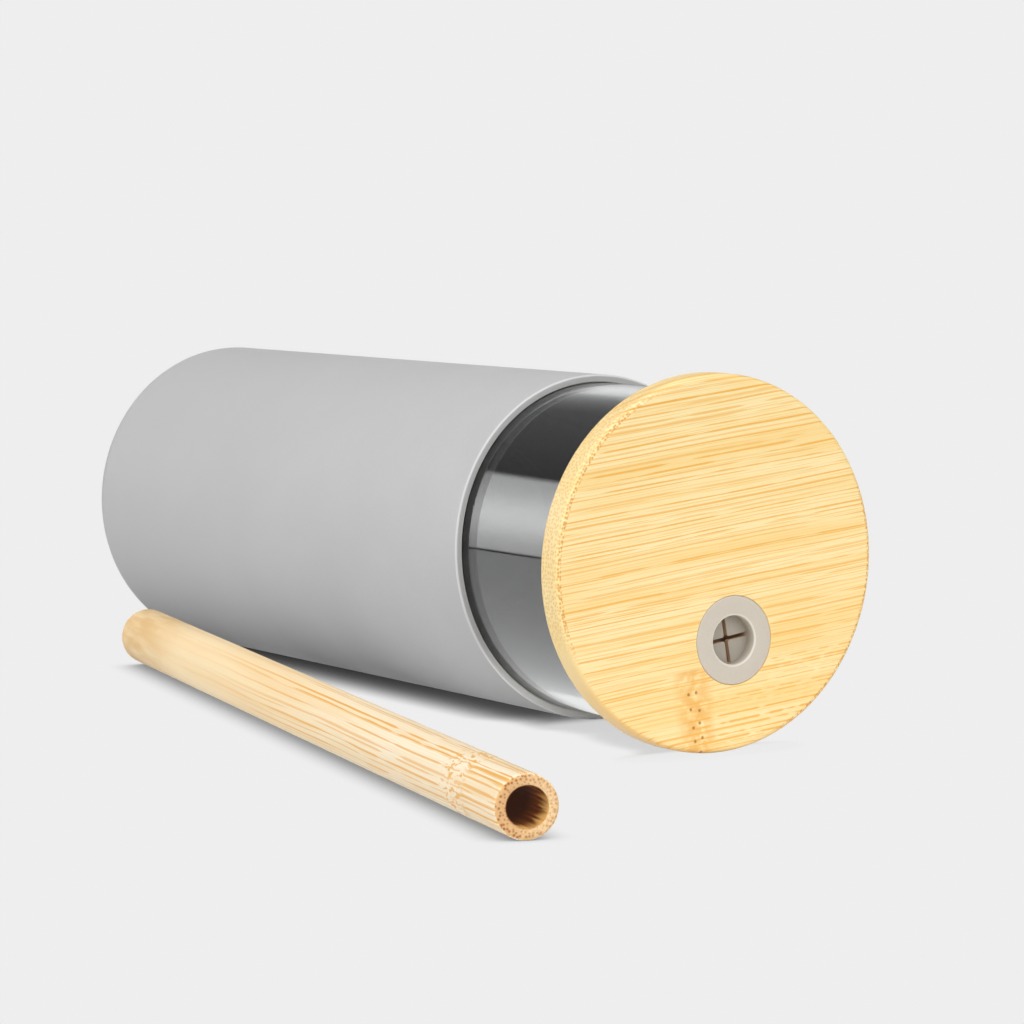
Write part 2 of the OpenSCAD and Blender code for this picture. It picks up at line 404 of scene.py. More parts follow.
def grommet_outline():
    """Outline of the grommet, from the membrane up the bore, round the flange and to the foot."""
    membrane_bottom = MEMBRANE_TOP - MEMBRANE_T
    foot_bottom = PLUG_END - FOOT_T
    lip = (GROMMET_BORE_R + GROMMET_LIP_R, LID_TOP - GROMMET_LIP_R)
    edge = (FLANGE_R - FLANGE_EDGE_R, LID_TOP - FLANGE_EDGE_R)
    middle_share = 0.6
    wall_middle = MEMBRANE_TOP + middle_share * (lip[1] - MEMBRANE_TOP)
    outline = [(GROMMET_BORE_R, h) for h in (membrane_bottom, MEMBRANE_TOP, wall_middle)]
    outline += arc(lip, GROMMET_LIP_R, 180, 90, steps=8)
    outline += arc(edge, FLANGE_EDGE_R, 90, 0, steps=5)
    outline += [(FLANGE_R, FLANGE_FLOOR), (GROMMET_R, FLANGE_FLOOR), (GROMMET_R, PLUG_END)]
    outline += [(FOOT_R, PLUG_END), (FOOT_R, foot_bottom), (GROMMET_BORE_R, foot_bottom)]
    return outline


def make_grommet():
    """Grommet: flange, soft lip, bore, crossed-slit membrane and foot, turned about the port."""
    count = GROMMET_COUNT
    outline = grommet_outline()
    vertices, _ = lathe(outline, count)
    rings = [ring_of(count, i * count) for i in range(len(outline))]
    faces = ring_faces(rings[1:], closed=False) + ring_faces([rings[-1], rings[0]], closed=False)
    low_h, high_h = outline[0][1], outline[1][1]
    half_slit = math.asin(SLIT_W / 2 / GROMMET_BORE_R)
    gap = max(1, round(half_slit / (2 * math.pi / count)))
    share = count // PETAL_COUNT
    for petal in range(PETAL_COUNT):
        first, last = petal * share + gap, (petal + 1) * share - gap
        seat = [i % count for i in range(first, last + 1)]
        free = petal_outline(2 * math.pi * (petal + 0.5) / PETAL_COUNT)
        low = ring_of(len(free), len(vertices))
        vertices += [(p.x, p.y, low_h) for p in free]
        high = ring_of(len(free), len(vertices))
        vertices += [(p.x, p.y, high_h) for p in free]
        wall_low, wall_high = [rings[0][i] for i in seat], [rings[1][i] for i in seat]
        faces.append(wall_low + low)
        faces.append((wall_high + high)[::-1])
        low_path = [wall_low[-1]] + low + [wall_low[0]]
        high_path = [wall_high[-1]] + high + [wall_high[0]]
        for i in range(len(low_path) - 1):
            faces.append([low_path[i], low_path[i + 1], high_path[i + 1], high_path[i]])
        for i in range(last, last + 2 * gap):
            a, b = i % count, (i + 1) % count
            faces.append([rings[0][a], rings[0][b], rings[1][b], rings[1][a]])
    return new_piece("grommet_port", vertices, faces, GROMMET_FRAME)


def ripple(height, turn, size, around, along):
    """Change of a round skin's radius by noise of a size, with a pace round it and along it."""
    spot = (around * math.cos(turn), around * math.sin(turn), along * height)
    return size * noise.noise(Vector(spot))


def straw_skin(height, turn):
    """Small change of the straw's outside radius: fibre ridges, taper, and a scar at the node."""
    ridges = sum(ripple(height, turn, *ridge) for ridge in FIBRE_RIDGES)
    taper = STRAW_TAPER * (height / STRAW_L - 0.5)
    near = math.exp(-((height - STRAW_NODE) / NODE_SPREAD) ** 2)
    return ridges + taper + near * (NODE_SWELL + ripple(height, turn, *NODE_SCAR))


def straw_bore_skin(height, turn):
    """Small change of the bore's radius, left by the drill."""
    return sum(ripple(height, turn, *mark) for mark in DRILL_MARKS)


def straw_cut(height, side):
    """Height of a point of the straw after its near end is cut a little askew."""
    share = min(max(1 - (STRAW_L / 2 - height) / STRAW_R, 0), 1)
    return height - side * math.tan(STRAW_CUT_TURN) * share


def straw_heights(low, high):
    """Heights of the rings on the straw's side: even, and closer round the node."""
    steps, node_pace, node_steps = 150, 0.4, 18
    length = high - low - 2 * STRAW_EDGE_R
    heights = [low + STRAW_EDGE_R + length * i / steps for i in range(steps + 1)]
    heights += [STRAW_NODE + node_pace * i for i in range(-node_steps, node_steps + 1)]
    return sorted(h for h in set(heights) if h <= high - STRAW_EDGE_R)


def make_straw():
    """Straw: a sanded culm with worn ends, a drilled bore and one node near its end."""
    high = STRAW_L / 2
    low = -high - STRAW_FAR_EXTRA
    edge_r = STRAW_R - STRAW_EDGE_R
    top = arc((edge_r, high - STRAW_EDGE_R), STRAW_EDGE_R, 0, 90, steps=6)[1:]
    bottom = arc((edge_r, low + STRAW_EDGE_R), STRAW_EDGE_R, -90, 0, steps=6)[:-1]
    outside = bottom + [(STRAW_R, h) for h in straw_heights(low, high)] + top
    bore_high = (STRAW_BORE_R, high - STRAW_BORE_EDGE)
    bore_low = (STRAW_BORE_R, low + STRAW_BORE_EDGE)
    inside = [(STRAW_BORE_R + STRAW_BORE_EDGE, high), bore_high]
    inside += between(bore_high, bore_low, steps=60)
    inside += [bore_low, (STRAW_BORE_R + STRAW_BORE_EDGE, low)]
    vertices, rings = [], []
    for points, skin in ((outside, straw_skin), (inside, straw_bore_skin)):
        for radius, height in points:
            rings.append(ring_of(STRAW_COUNT, len(vertices)))
            for turn in turns_of(STRAW_COUNT):
                reach = radius + skin(height, turn)
                x, y = reach * math.cos(turn), reach * math.sin(turn)
                vertices.append((x, y, straw_cut(height, y)))
    faces = ring_faces(rings, closed=True)
    return new_piece("straw_culm", vertices, faces, STRAW_FRAME, STRAW_SHARP_EDGE)


class Nodes:
    """Short calls that add nodes to a tree and return their output sockets."""

    def __init__(self, tree):
        self.tree = tree

    def add(self, kind, inputs=(), **settings):
        """New node, with its inputs set or linked."""
        node = self.tree.nodes.new("ShaderNode" + kind)
        for key, value in settings.items():
            setattr(node, key, value)
        for key, value in dict(inputs).items():
            self.put(node.inputs[key], value)
        return node

    def put(self, socket, value):
        """Links an output to a socket, or sets the socket's value."""
        if isinstance(value, bpy.types.NodeSocket):
            self.tree.links.new(value, socket)
        else:
            socket.default_value = value

    def math(self, operation, first, second=0.0, third=0.0):
        values = {0: first, 1: second, 2: third}
        return self.add("Math", values, operation=operation).outputs[0]

    def both(self, first, *others):
        """Product of shares."""
        for other in others:
            first = self.math("MULTIPLY", first, other)
        return first

    def either(self, first, *others):
        """Largest of some shares."""
        for other in others:
            first = self.math("MAXIMUM", first, other)
        return first

    def size(self, value):
        return self.math("ABSOLUTE", value)

    def length(self, x, y):
        squares = self.math("ADD", self.math("MULTIPLY", x, x), self.math("MULTIPLY", y, y))
        return self.math("SQRT", squares)

    def step(self, value, low, high, to_low=0.0, to_high=1.0):
        """Smooth step of a value from low to high."""
        inputs = {
            "Value": value, "From Min": low, "From Max": high, "To Min": to_low, "To Max": to_high,
        }
        return self.add("MapRange", inputs, interpolation_type="SMOOTHSTEP").outputs[0]

    def vector(self, operation, first, second=(0, 0, 0)):
        return self.add("VectorMath", {0: first, 1: second}, operation=operation).outputs[0]

    def scale(self, vector, factor):
        inputs = {0: vector, "Scale": factor}
        return self.add("VectorMath", inputs, operation="SCALE").outputs[0]

    def dot(self, first, second):
        inputs = {0: first, 1: second}
        return self.add("VectorMath", inputs, operation="DOT_PRODUCT").outputs["Value"]

    def split(self, vector):
        return self.add("SeparateXYZ", {0: vector}).outputs

    def join(self, x, y, z=0.0):
        return self.add("CombineXYZ", {0: x, 1: y, 2: z}).outputs[0]

    def turn(self, vector, angle):
        """Vector turned about Z."""
        inputs = {"Vector": vector, "Angle": angle}
        return self.add("VectorRotate", inputs, rotation_type="Z_AXIS").outputs[0]

    def noise(self, vector, stretch=(1, 1, 1), scale=1.0, detail=2.0, rough=0.5, output="Fac"):
        """Noise at a place that is stretched along its axes first."""
        if stretch != (1, 1, 1):
            vector = self.vector("MULTIPLY", vector, stretch)
        inputs = {"Vector": vector, "Scale": scale, "Detail": detail, "Roughness": rough}
        return self.add("TexNoise", inputs).outputs[output]

    def cells(self, vector, scale, randomness):
        """Scattered points on a plane, as a Voronoi node."""
        inputs = {"Vector": vector, "Scale": scale, "Randomness": randomness}
        return self.add("TexVoronoi", inputs, voronoi_dimensions="2D")

    def mix(self, factor, first, second):
        """Colour between two colours."""
        node = self.add("Mix", data_type="RGBA", blend_type="MIX")
        self.put(node.inputs[0], factor)
        self.put(node.inputs[6], first)
        self.put(node.inputs[7], second)
        return node.outputs[2]

    def coat(self, tone, share, colour, strength):
        """Tone with a colour laid over it where the share is, at a strength."""
        return self.mix(self.math("MULTIPLY", share, strength), tone, colour)


class Shader(Nodes):
    """Nodes of the material of a piece that has a local frame."""

    def __init__(self, name, matrix=Matrix()):
        self.material = bpy.data.materials.new(name)
        self.material.use_nodes = True
        super().__init__(self.material.node_tree)
        self.surface = self.tree.nodes["Principled BSDF"]
        self.turned = {"Rotation": tuple(matrix.to_euler())}
        self.placed = {"Location": tuple(matrix.translation), **self.turned}

    def place(self):
        """Place on the piece in millimetres, in its local frame."""
        spot = {"Vector": self.add("TexCoord").outputs["Object"], **self.placed}
        return self.scale(self.add("Mapping", spot, vector_type="TEXTURE").outputs[0], 1 / MM)

    def facing(self):
        """Direction that the surface faces, in the piece's local frame."""
        way = {"Vector": self.add("TexCoord").outputs["Normal"], **self.turned}
        return self.add("Mapping", way, vector_type="TEXTURE").outputs[0]

    def bump(self, height, distance, strength):
        """Normal of a surface with that relief, at most a distance in millimetres deep."""
        inputs = {"Height": height, "Distance": distance * MM, "Strength": strength}
        return self.add("Bump", inputs).outputs[0]

    def set(self, **values):
        """Sets or links inputs of the surface, and returns the material."""
        for key, value in values.items():
            self.put(self.surface.inputs[key.replace("_", " ")], value)
        return self.material


def shade(red, green, blue):
    """Colour as written on a screen, 0 to 255, for a node."""
    def linear(value):
        value /= 255
        return value / 12.92 if value <= 0.04045 else ((value + 0.055) / 1.055) ** 2.4
    return (linear(red), linear(green), linear(blue), 1.0)


def grey(level):
    return shade(level, level, level)


# Grain lines come in between these levels of noise, keep this share of their width where they
# are out, and are solid over this share of it
LINE_COMES_IN = (0.34, 0.54)
LINE_OUT_SHARE = 0.02
LINE_SOLID_SHARE = 0.4
# Faintest line, as a share of the boldest
LINE_FAINTEST = 0.5
# Distance in the noise between one line and the next
LINE_SPREAD = 40.0


def grain_lines(s, across, run, pitch, slim, wide):
    """Share of grain line, for lines about a pitch apart that come and go along their run."""
    inputs = {"W": s.math("DIVIDE", across, pitch), "Scale": 1.0}
    node = s.add("TexVoronoi", inputs, voronoi_dimensions="1D")
    width, place, force = s.split(node.outputs["Color"])
    fade = s.noise(s.join(s.math("MULTIPLY", place, LINE_SPREAD), run), detail=1.0)
    reach = s.math("MULTIPLY_ADD", width, (wide - slim) / pitch, slim / pitch)
    reach = s.both(reach, s.step(fade, *LINE_COMES_IN, LINE_OUT_SHARE, 1.0))
    line = s.step(node.outputs["Distance"], reach, s.math("MULTIPLY", reach, LINE_SOLID_SHARE))
    return s.both(line, s.math("MULTIPLY_ADD", force, 1 - LINE_FAINTEST, LINE_FAINTEST))


def drift(s, spot, across, along, amount):
    """A spot moved sideways by a slow wander along the fibres."""
    wander = s.noise(spot, (1 / across, 1 / across, 1 / along), output="Color")
    moved = s.scale(s.vector("SUBTRACT", wander, (0.5, 0.5, 0.5)), amount)
    return s.vector("ADD", spot, s.vector("MULTIPLY", moved, (1, 1, 0)))


def glass_material():
    """Clear glass, a little wavy, with a faint film in places."""
    s = Shader("clear_glass", TUMBLER_FRAME)
    spot = s.place()
    wave = s.noise(spot, (1, 1, 0.4), scale=0.05, detail=1.0)
    film = s.noise(spot, scale=0.05)
    return s.set(
        Base_Color=s.mix(wave, shade(236, 239, 238), shade(230, 234, 233)),
        Roughness=s.step(film, 0.55, 0.8, 0.0, 0.008), IOR=1.6,
        Transmission_Weight=1.0, Normal=s.bump(wave, distance=0.03, strength=0.2),
    )


# The sleeve's lip and inside get painted light on the side where it lies, between these places
# across the axis
SLEEVE_LIT_SIDE = (16.0, 33.0)
# The inside's painted shade is at its darkest from this depth below the rim
SLEEVE_SHADE_DEPTH = 5.0


def sleeve_material():
    """Matt silicone with a fine grain; painted highlight on the lip, painted shade on the rim's
    flat and inside, and painted light on its low side and towards the rim.
    """
    s = Shader("sleeve_silicone", TUMBLER_FRAME)
    spot = s.place()
    x, y, height = s.split(spot)
    cloud = s.noise(spot, scale=0.03, detail=3.0)
    grain = s.noise(spot, scale=5.0, detail=3.0, rough=0.65)
    low_side = s.step(x, *SLEEVE_LIT_SIDE)
    crown = s.step(s.split(s.facing())[2], 0.12, 0.45)
    middle = sleeve_bore_r(SLEEVE_H) + SLEEVE_WALL / 2
    off = s.size(s.math("SUBTRACT", s.length(x, y), middle))
    lip = s.both(crown, s.step(off, 0.35, 0.6))
    flat_shade = s.both(crown, s.step(off, 0.5, 0.35))
    inwards = s.step(s.dot(s.facing(), s.join(x, y)), -2.0, -20.0)
    inside = s.both(inwards, s.step(height, SLEEVE_H, SLEEVE_H - SLEEVE_SHADE_DEPTH))

    # Painted light: the tone lightens from the base towards the rim, where more light falls
    tone = s.mix(s.step(height, 0.0, SLEEVE_H), grey(188), grey(199))
    tone = s.mix(s.step(cloud, 0.3, 0.7, 0.0, 0.4), tone, grey(186))
    tone = s.mix(s.step(grain, 0.35, 0.75, 0.0, 0.6), tone, grey(186))
    # Painted highlight on the rim's two rounded edges, and painted shade on the flat between them
    tone = s.coat(tone, lip, grey(224), 0.65)
    tone = s.coat(tone, flat_shade, grey(170), 0.45)
    # Painted light: the rim is near white on the low side, where little light falls
    tone = s.mix(s.both(crown, low_side), tone, grey(255))
    # Painted shade on the inside below the rim, turned to painted light on the low side
    tone = s.mix(inside, tone, s.mix(low_side, grey(124), grey(250)))
    return s.set(
        Base_Color=tone, Roughness=s.step(cloud, 0.3, 0.7, 0.5, 0.6), Specular_IOR_Level=0.17,
        Normal=s.bump(grain, distance=0.012, strength=0.5),
    )


def grommet_material():
    """Matt warm grey silicone, with a painted highlight on the lip, painted shade in the well, and
    slits painted lighter and warm against their shade.
    """
    s = Shader("grommet_silicone", GROMMET_FRAME)
    spot = s.place()
    x, y, height = s.split(spot)
    cloud = s.noise(spot, scale=0.3, detail=3.0)
    grain = s.noise(spot, scale=7.0, detail=3.0, rough=0.6)
    well_shade = s.step(height, LID_TOP - 0.5, MEMBRANE_TOP + 0.4)
    slit_light = s.step(height, MEMBRANE_TOP - 0.05, MEMBRANE_TOP - 0.3)
    lip_r = GROMMET_BORE_R + GROMMET_LIP_R
    near_bore = s.step(s.length(x, y), lip_r + 0.15, GROMMET_BORE_R + 0.25)
    lip = s.both(s.step(height, LID_TOP - 0.35, LID_TOP - 0.1), near_bore)

    tone = s.mix(cloud, shade(203, 194, 180), shade(209, 200, 187))
    tone = s.mix(s.step(grain, 0.4, 0.8), tone, shade(197, 188, 175))
    # Painted highlight on the lip round the bore
    tone = s.coat(tone, lip, shade(232, 227, 216), 0.7)
    # Painted shade in the well down to the membrane
    tone = s.coat(tone, well_shade, shade(158, 151, 138), 0.8)
    # Painted light: the slit walls are lighter and warm, to lift the shade in the slits
    tone = s.mix(slit_light, tone, shade(206, 172, 138))
    return s.set(
        Base_Color=tone, Roughness=s.step(grain, 0.3, 0.7, 0.42, 0.55),
        Normal=s.bump(grain, distance=0.01, strength=0.5),
    )


def seal_material():
    """Translucent white silicone."""
    s = Shader("seal_silicone", LID_FRAME)
    cloud = s.noise(s.place(), scale=0.2, detail=3.0)
    return s.set(
        Base_Color=s.mix(cloud, shade(236, 236, 232), shade(226, 227, 222)),
        Roughness=s.step(cloud, 0.3, 0.7, 0.35, 0.48), IOR=1.41,
        Transmission_Weight=0.15, Normal=s.bump(cloud, distance=0.03, strength=0.4),
    )


# Lid's fibres: their turn, the place of the node along them, and where its strip starts across
LID_GRAIN_TURN = math.radians(-8.6)
LID_NODE_ALONG = -8.9
LID_NODE_STRIP = 21.0
# Lines of the grain: pitch, width of the slimmest and of the widest
LID_LINES = (1.2, 0.14, 0.32)
LID_THIN_LINES = (0.62, 0.09, 0.22)
# Length over which a line comes and goes, and the same for the dashes past the node
LID_LINE_RUN = 15.0
LID_DASH_RUN = 3.6
# The open vessels show best on rim that faces this far from along the fibres
LID_VESSEL_TURN = math.radians(28.0)
LID_VESSEL_PITCH = 0.82
LID_VESSEL_FACING = (0.6, 0.85)
# Down from the start of the rounded edge: where the vessels start, where they shrink, and where
# the bold row ends, with their radius in pitches and their strength on both sides of that
LID_VESSEL_START = (0.1, 0.4)
LID_VESSEL_SHRINKS = (0.5, 2.8)
LID_VESSEL_R = (0.62, 0.5)
LID_VESSEL_FADE = (0.7, 1.7)
LID_VESSEL_STRENGTH = (0.9, 0.35)
LID_VESSEL_SOLID_SHARE = 0.3
# Leaf scars: pitch across the fibres and along them, shift, radius, and reach from the node
SCAR_ROW = 3.2
SCAR_PAIR = 2.0
SCAR_SHIFT = 0.65
SCAR_R = (0.48, 0.2)
SCAR_REACH = (1.8, 1.6)
SCAR_INSET = (2.2, 2.5)


def node_scars(s, across, gap):
    """Small brown scars in pairs across the fibres, where a leaf sheath sat."""
    pair = s.math("MULTIPLY_ADD", gap, 1 / SCAR_PAIR, SCAR_SHIFT)
    spot = s.join(s.math("DIVIDE", across, SCAR_ROW), pair)
    centre = s.cells(spot, scale=1.0, randomness=0.35).outputs["Position"]
    off_x, off_y, _ = s.split(s.vector("SUBTRACT", centre, spot))
    off = s.length(s.math("MULTIPLY", off_x, SCAR_ROW), s.math("MULTIPLY", off_y, SCAR_PAIR))
    inner = s.step(across, *(LID_NODE_STRIP + inset for inset in SCAR_INSET))
    return s.both(inner, s.step(off, *SCAR_R), s.step(s.size(gap), *SCAR_REACH))


def end_grain(s, x, y, height):
    """Share of open vessel where the fibres end on the lid's rim, boldest along its upper edge."""
    radius = s.length(x, y)
    rim = s.math("MULTIPLY", s.math("ARCTAN2", y, x), LID_R)
    out = s.math("SUBTRACT", radius, LID_R - LID_FRONT_R)
    down = s.math("ADD", s.math("SUBTRACT", LID_TOP, height), out)
    node = s.cells(s.join(rim, down), scale=1 / LID_VESSEL_PITCH, randomness=0.75)
    reach = s.step(down, *LID_VESSEL_SHRINKS, *LID_VESSEL_R)
    solid = s.math("MULTIPLY", reach, LID_VESSEL_SOLID_SHARE)
    dot = s.step(node.outputs["Distance"], reach, solid)
    faced = s.split(s.turn(s.join(x, y), LID_VESSEL_TURN - LID_GRAIN_TURN))[1]
    faced = s.step(s.math("DIVIDE", s.size(faced), radius), *LID_VESSEL_FACING)
    edge = s.step(down, *LID_VESSEL_FADE, *LID_VESSEL_STRENGTH)
    edge = s.both(s.step(down, *LID_VESSEL_START), edge)
    disc = s.step(height, LID_BACK - 0.5, LID_BACK)
    return s.both(dot, faced, edge, disc)


def lid_material():
    """Sanded bamboo: fibre lines, one strip with a node, and open vessels on the rim."""
    s = Shader("lid_bamboo", LID_FRAME)
    place = s.place()
    x, y, depth = s.split(place)
    across, along, _ = s.split(s.turn(place, -LID_GRAIN_TURN))
    sideways, endways, _ = s.split(s.turn(s.facing(), -LID_GRAIN_TURN))
    end = s.step(s.size(endways), 0.3, 0.7)
    low_rim_shade = s.both(s.step(s.length(sideways, endways), 0.4, 0.8), s.step(x, 2.0, 26.0))
    strip = s.step(across, LID_NODE_STRIP - 0.3, LID_NODE_STRIP + 0.3)
    gap = s.math("SUBTRACT", along, LID_NODE_ALONG)
    dashed = s.both(strip, s.step(gap, -2.0, 4.0))

    strip_shift = 37.0
    fibre = s.join(across, s.math("MULTIPLY_ADD", strip, strip_shift, depth), gap)
    fibre = drift(s, fibre, across=8.0, along=60.0, amount=1.2)
    side, layer, _ = s.split(fibre)
    side = s.math("MULTIPLY_ADD", layer, 0.6, side)
    run = s.both(gap, s.step(dashed, 0.0, 1.0, 1 / LID_LINE_RUN, 1 / LID_DASH_RUN))
    along_face = s.math("SUBTRACT", 1.0, end)
    lines = s.both(grain_lines(s, side, run, *LID_LINES), along_face)
    thin = grain_lines(s, s.math("ADD", side, 7.3), run, *LID_THIN_LINES)
    thin = s.both(thin, along_face)
    bands = s.noise(fibre, (0.2, 0.2, 0.012))
    cloud = s.noise(s.join(across, gap), scale=0.4)
    knot = s.both(strip, s.step(s.size(gap), 6.0, 1.0), s.step(cloud, 0.3, 0.6))
    vessels = end_grain(s, x, y, depth)

    tone = s.mix(s.step(bands, 0.35, 0.7), shade(255, 232, 175), shade(253, 219, 148))
    tone = s.coat(tone, end, shade(255, 226, 158), 0.6)
    # Painted shade: the rim is darker and more orange on its low side, towards +X
    tone = s.coat(tone, low_rim_shade, shade(240, 192, 116), 0.6)
    tone = s.coat(tone, thin, shade(249, 203, 120), 0.8)
    tone = s.coat(tone, knot, shade(240, 182, 94), 0.8)
    tone = s.mix(lines, tone, shade(244, 182, 78))
    tone = s.coat(tone, node_scars(s, across, gap), shade(176, 106, 44), 0.85)
    tone = s.mix(vessels, tone, shade(216, 150, 60))
    relief = s.math("ADD", lines, s.math("ADD", vessels, s.math("MULTIPLY", thin, 0.5)))
    return s.set(
        Base_Color=tone, Roughness=s.step(thin, 0.0, 1.0, 0.42, 0.56),
        Normal=s.bump(relief, distance=0.02, strength=0.5),
    )


# Lines of the straw's grain, of the bold streaks past its node, and its thin lines:
# pitch, width of the slimmest and of the widest
STRAW_LINES = (1.3, 0.12, 0.44)
STRAW_STREAKS = (1.6, 0.2, 0.55)
STRAW_THIN_LINES = (0.6, 0.06, 0.16)
# Length over which a line comes and goes: mostly, added from a place on, and for the streaks
STRAW_LINE_RUN = 42.0
STRAW_NEAR_RUN = 26.0
STRAW_NEAR_FROM = 40.0
STRAW_STREAK_RUN = 30.0
STRAW_VESSEL_PITCH = 0.85
STRAW_VESSEL_SOLID_SHARE = 0.25
# Along the straw: where the worn far end starts and is at its darkest, and where the lines grow
STRAW_WORN = (-80.0, -118.0)
STRAW_LINES_GROW = (-80.0, 20.0)
# Distance from the node at which the lines start to swerve, and at which they swerve most
STRAW_SWERVE = (9.0, 1.0)


def straw_end_tone(s, x, y, radius):
    """Cut end of the culm: vessels that grow in size towards the skin, and painted shade on one
    side.
    """
    spot = s.join(x, y)
    node = s.cells(spot, scale=1 / STRAW_VESSEL_PITCH, randomness=0.8)
    reach = s.step(radius, STRAW_BORE_R + 0.2, STRAW_R - 0.6, 0.25, 0.52)
    solid = s.math("MULTIPLY", reach, STRAW_VESSEL_SOLID_SHARE)
    dot = s.step(node.outputs["Distance"], reach, solid)
    dot = s.both(dot, s.step(y, -5.0, 4.0, 0.5, 0.95))
    cloud = s.noise(spot, scale=1.6, detail=3.0)
    skin = s.step(radius, STRAW_R - 0.7, STRAW_R - 0.1)
    outer = s.step(radius, STRAW_R - 1.6, STRAW_R - 0.4)
    tone = s.mix(s.step(cloud, 0.35, 0.65), shade(243, 209, 162), shade(229, 191, 141))
    # Painted shade: the end face is darker towards its +Y side
    tone = s.mix(s.step(y, -5.0, 5.0, 0.0, 0.6), tone, shade(214, 162, 106))
    tone = s.coat(tone, skin, shade(240, 186, 112), 0.5)
    return s.mix(dot, tone, s.mix(outer, shade(186, 134, 84), shade(164, 98, 42)))


def straw_bore_tone(s, x, y, z):
    """Drilled bore: brown at the mouth, with torn pale fibres lit as painted light on its low
    side, and painted shade further in.
    """
    torn = s.noise(s.join(x, y, z), (1.6, 1.6, 0.10), detail=3.0)
    depth = s.math("SUBTRACT", STRAW_L / 2, s.size(z))
    low = s.step(s.math("MULTIPLY_ADD", y, 0.6, x), 1.5, -2.5)
    lit_mouth = s.both(s.step(s.math("MULTIPLY_ADD", torn, 9.0, depth), 9.5, 3.5), low)
    # Painted shade: the bore darkens further in
    tone = s.mix(s.step(depth, 1.0, 12.0), shade(112, 56, 16), shade(50, 20, 3))
    tone = s.coat(tone, s.step(torn, 0.4, 0.65), shade(46, 19, 4), 0.6)
    # Torn pale fibres at the mouth, shown only on its low side as painted light
    return s.coat(tone, lit_mouth, shade(222, 170, 98), 0.8)


def straw_lines(s, place, x, y, z):
    """Shares of bold and of thin grain line on the straw's side, and the way round it."""
    from_node = s.size(s.math("SUBTRACT", z, STRAW_NODE))
    knot = s.step(from_node, *STRAW_SWERVE)
    wander = s.math("SUBTRACT", s.noise(place, (0.6, 0.6, 0.3), detail=1.0), 0.5)
    wave = s.noise(place, (0.15, 0.15, 0.02))
    sway = s.math("MULTIPLY_ADD", wave, 1.2, s.both(wander, knot, 2.4))
    round_way = s.math("MULTIPLY_ADD", s.math("ARCTAN2", y, x), STRAW_R, sway)
    near = s.math("MAXIMUM", s.math("SUBTRACT", z, STRAW_NEAR_FROM), 0.0)
    run = s.math("MULTIPLY_ADD", near, 1 / STRAW_NEAR_RUN, s.math("DIVIDE", z, STRAW_LINE_RUN))
    past_node = s.step(z, STRAW_NODE - 7.0, STRAW_NODE + 5.0)
    run = s.math("MULTIPLY_ADD", past_node, 4.0, run)

    early = grain_lines(s, round_way, run, *STRAW_LINES)
    streak_run = s.math("DIVIDE", z, STRAW_STREAK_RUN)
    streaks = grain_lines(s, round_way, streak_run, *STRAW_STREAKS)
    streaks = s.both(streaks, s.step(z, STRAW_NODE + 2.0, STRAW_NODE + 8.0))
    blot = s.step(s.noise(place, (0.85, 0.85, 0.42), detail=1.0), 0.55, 0.63)
    blot = s.both(blot, s.step(from_node, 8.0, 4.0), 0.9)
    thin = grain_lines(s, s.math("ADD", round_way, 11.0), run, *STRAW_THIN_LINES)
    return s.either(early, streaks, blot), thin, round_way


def straw_material():
    """Bamboo culm: fibre lines that gather at the node, a worn far end, a cut end and a bore."""
    s = Shader("straw_bamboo", STRAW_FRAME)
    place = s.place()
    x, y, z = s.split(place)
    radius = s.length(x, y)
    cut = s.step(s.size(s.split(s.facing())[2]), 0.5, 0.9)
    bore = s.step(radius, STRAW_BORE_R + 0.4, STRAW_BORE_R + 0.15)
    worn = s.step(z, *STRAW_WORN)
    lines, thin, round_way = straw_lines(s, place, x, y, z)
    bands = s.noise(s.join(round_way, z), (0.25, 0.012, 0))
    cloud = s.noise(place, (0.3, 0.3, 0.07))
    force = s.step(z, *STRAW_LINES_GROW, 0.1, 0.95)

    side = s.mix(s.step(z, -40.0, 90.0), shade(253, 228, 184), shade(255, 240, 212))
    side = s.coat(side, s.step(bands, 0.4, 0.7), shade(248, 215, 164), 0.6)
    side = s.coat(side, worn, shade(228, 188, 128), s.step(cloud, 0.3, 0.6, 0.3, 0.9))
    side = s.coat(side, s.both(thin, force), shade(248, 208, 144), 0.5)
    side = s.coat(side, lines, shade(241, 180, 84), force)
    tone = s.mix(cut, side, straw_end_tone(s, x, y, radius))
    tone = s.mix(bore, tone, straw_bore_tone(s, x, y, z))
    relief = s.math("ADD", lines, s.math("MULTIPLY", thin, 0.5))
    return s.set(
        Base_Color=tone, Roughness=s.either(s.step(thin, 0.0, 1.0, 0.45, 0.6), bore),
        Specular_IOR_Level=0.12, Normal=s.bump(relief, distance=0.03, strength=0.6),
    )


def make_camera():
    """Camera at the photograph's viewing angle."""
    data = bpy.data.cameras.new("camera")
    data.sensor_width = SENSOR_WIDTH
    data.lens = FOCAL_PIXELS / IMAGE_SIDE * SENSOR_WIDTH
    data.clip_start, data.clip_end = CAMERA_REACH
    camera = bpy.data.objects.new("camera", data)
    level = math.cos(CAMERA_PITCH)
    ahead = (level * math.cos(CAMERA_PAN), level * math.sin(CAMERA_PAN), -math.sin(CAMERA_PITCH))
    camera.location = CAMERA_PLACE
    camera.rotation_euler = Vector(ahead).to_track_quat("-Z", "Y").to_euler()
    bpy.context.scene.collection.objects.link(camera)
    bpy.context.scene.camera = camera


# Paper of the floor: plain, painted dark as shade below the tumbler, and painted dim where it
# throws back less light
PALE = grey(238)
PAINTED_SHADE_PAPER = grey(90)
DIM_PAPER = grey(160)
FLOOR_R = 0.72
FLOOR_COUNT = 96
CONTACT_REACH = 0.007
CONTACT_SAMPLES = 16
